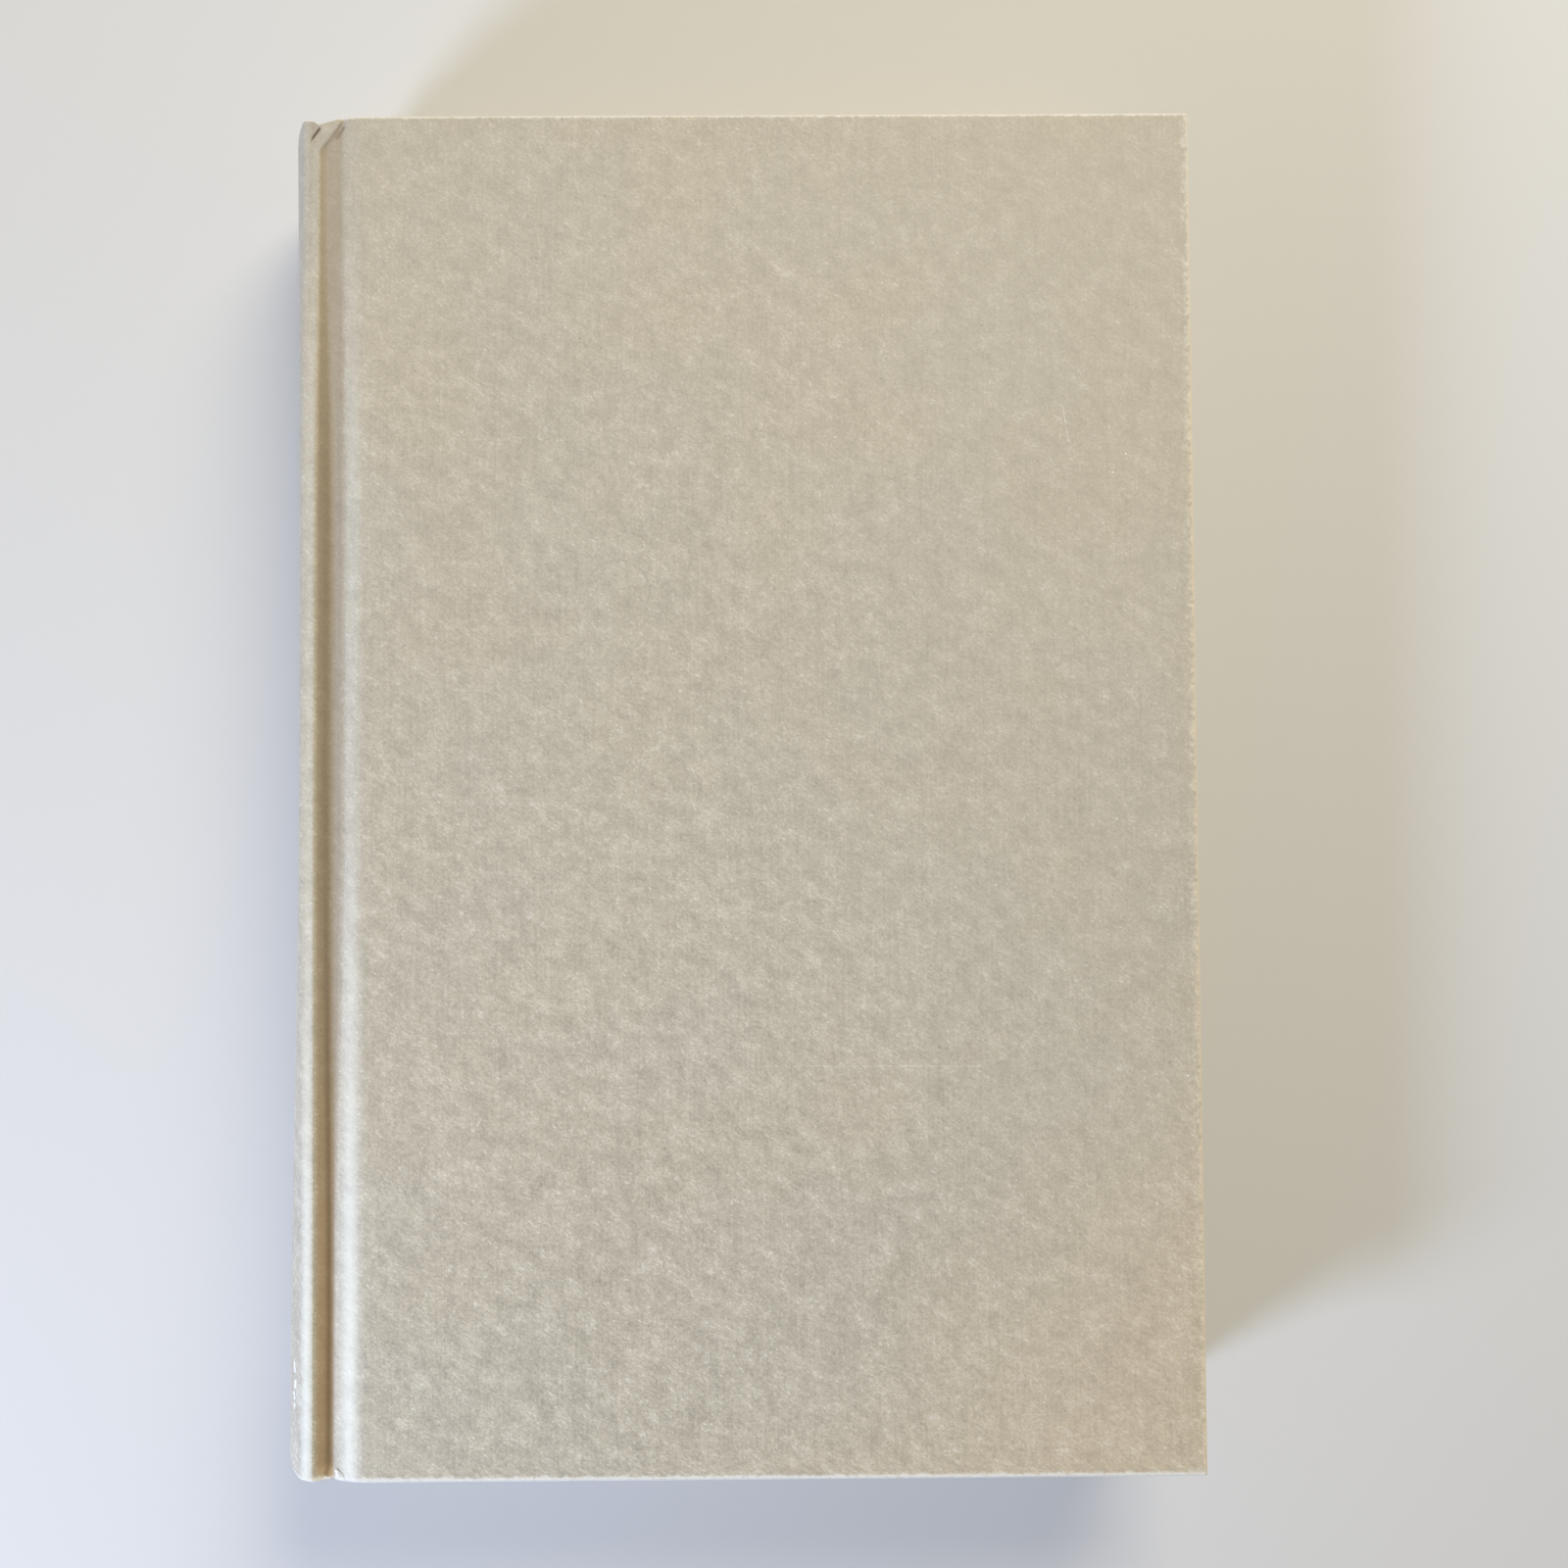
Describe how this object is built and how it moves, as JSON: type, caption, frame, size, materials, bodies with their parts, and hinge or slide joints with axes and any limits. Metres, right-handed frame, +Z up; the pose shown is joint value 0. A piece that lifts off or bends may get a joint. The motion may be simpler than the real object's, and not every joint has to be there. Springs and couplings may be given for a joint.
{
  "type": "hardback book",
  "caption": "Hardback book lying flat: rounded spine, grooved joints, bare paper-covered boards that open on both sides.",
  "frame": {"origin": "under the middle of the closed book, on the outer face of the back cover that it lies on", "axes": "+X from the spine to the fore-edge, +Y from the tail to the head, +Z up through the front cover"},
  "size_m": [0.1632, 0.2418, 0.03],
  "materials": {
    "cover_paper": "matt fibrous paper, light warm grey",
    "board": "grey binding board",
    "leaves": "uncoated cream book paper, cut edges",
    "endpaper": "smooth uncoated off-white paper",
    "super_cloth": "open stiffened cotton cloth",
    "lining": "brown kraft paper",
    "band": "woven cotton band"
  },
  "bodies": {
    "book_block": {"text_block": "leaves", "front_flyleaf": "endpaper", "back_flyleaf": "endpaper", "spine_super": "super_cloth", "spine_lining": "lining", "head_band": "band", "tail_band": "band", "spine_inlay": "board", "spine_cover_paper": "cover_paper"},
    "front_cover": {"front_board": "board", "front_cover_paper": "cover_paper", "front_pastedown": "endpaper", "front_super_flange": "super_cloth"},
    "back_cover": {"back_board": "board", "back_cover_paper": "cover_paper", "back_pastedown": "endpaper", "back_super_flange": "super_cloth"}
  },
  "joints": [
    {"name": "front_cover_hinge", "type": "hinge", "parent": "book_block", "child": "front_cover", "pos_m": [-0.07212, 0, 0.0301], "axis": [0, -1, 0], "range_deg": [0, 180]},
    {"name": "back_cover_hinge", "type": "hinge", "parent": "book_block", "child": "back_cover", "pos_m": [-0.07212, 0, -0.0001], "axis": [0, 1, 0], "range_deg": [0, 180]}
  ]
}
